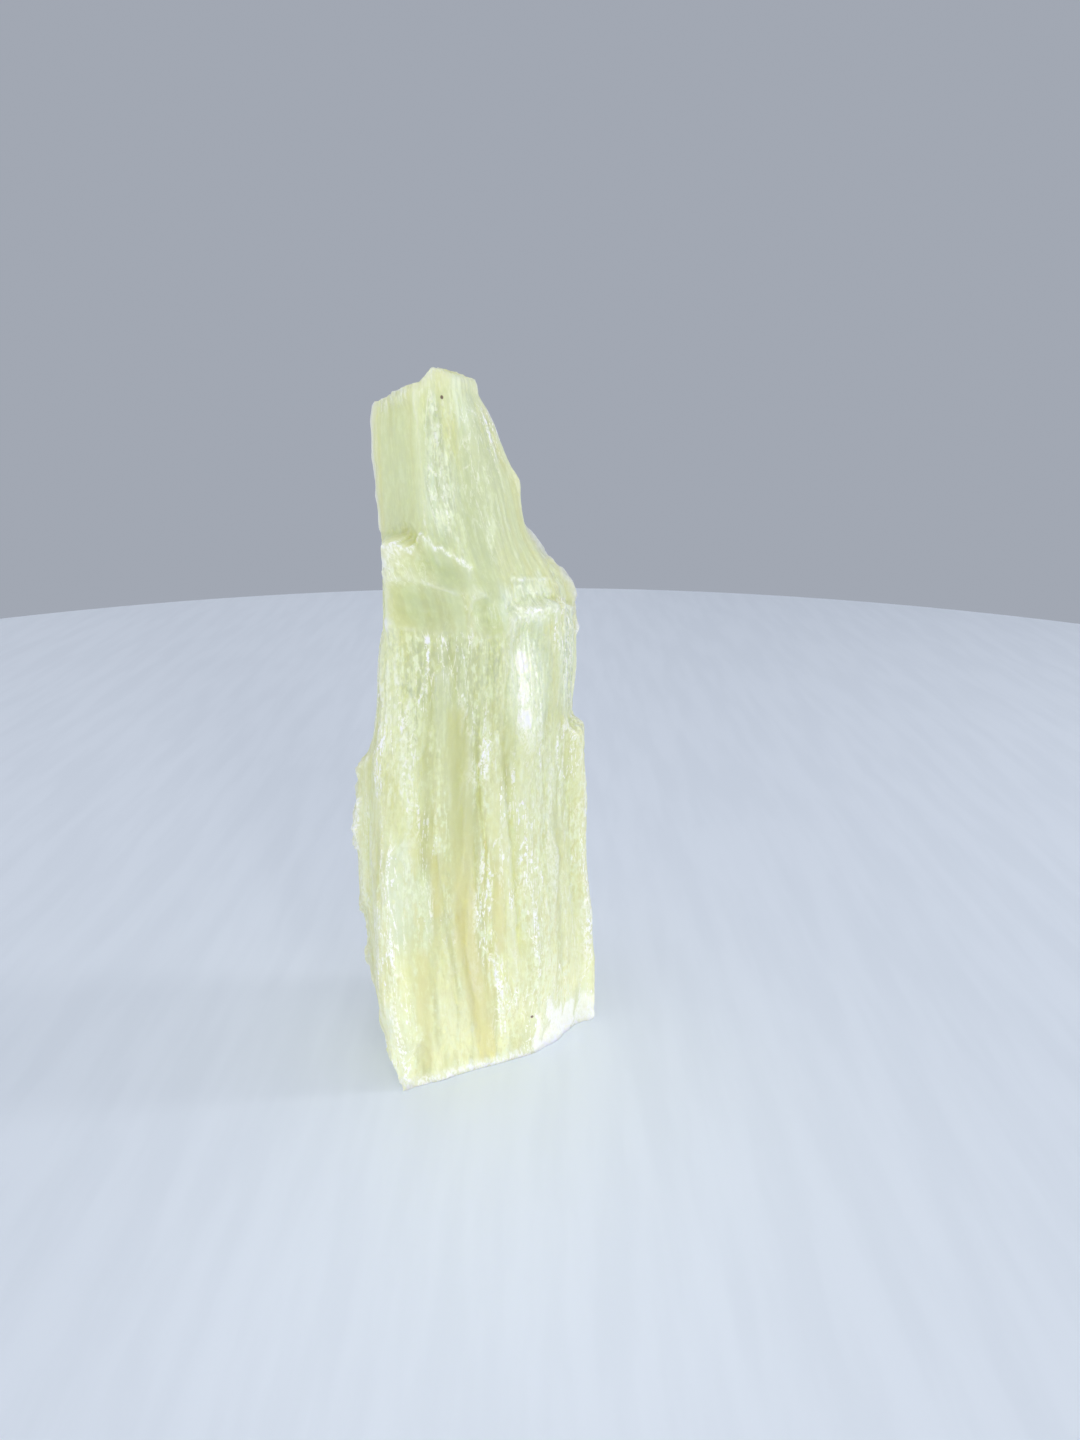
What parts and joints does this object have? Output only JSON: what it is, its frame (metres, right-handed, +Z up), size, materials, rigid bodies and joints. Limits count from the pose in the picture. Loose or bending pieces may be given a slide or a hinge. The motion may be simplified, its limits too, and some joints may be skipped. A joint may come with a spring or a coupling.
{
  "type": "lemon calcite chunk",
  "caption": "Tall raw chunk of pale lemon calcite: ribbed fibrous sides, a ragged ledge and scooped fracture below a narrower upper spire, and a flat broken foot it stands on.",
  "frame": {"origin": "centre of the bounding box, on the flat foot that the chunk stands on", "axes": "+Z up along the chunk and its fibres; -Y is the broad ribbed face with the ledge, +X the side of the shoulder"},
  "size_m": [0.0426, 0.04, 0.1182],
  "materials": {
    "calcite": "raw broken lemon calcite: milky and translucent, glossy on cleavage faces, frosted white on fibre ends"
  },
  "bodies": {
    "root": {"lemon_calcite_chunk": "calcite"}
  },
  "joints": []
}
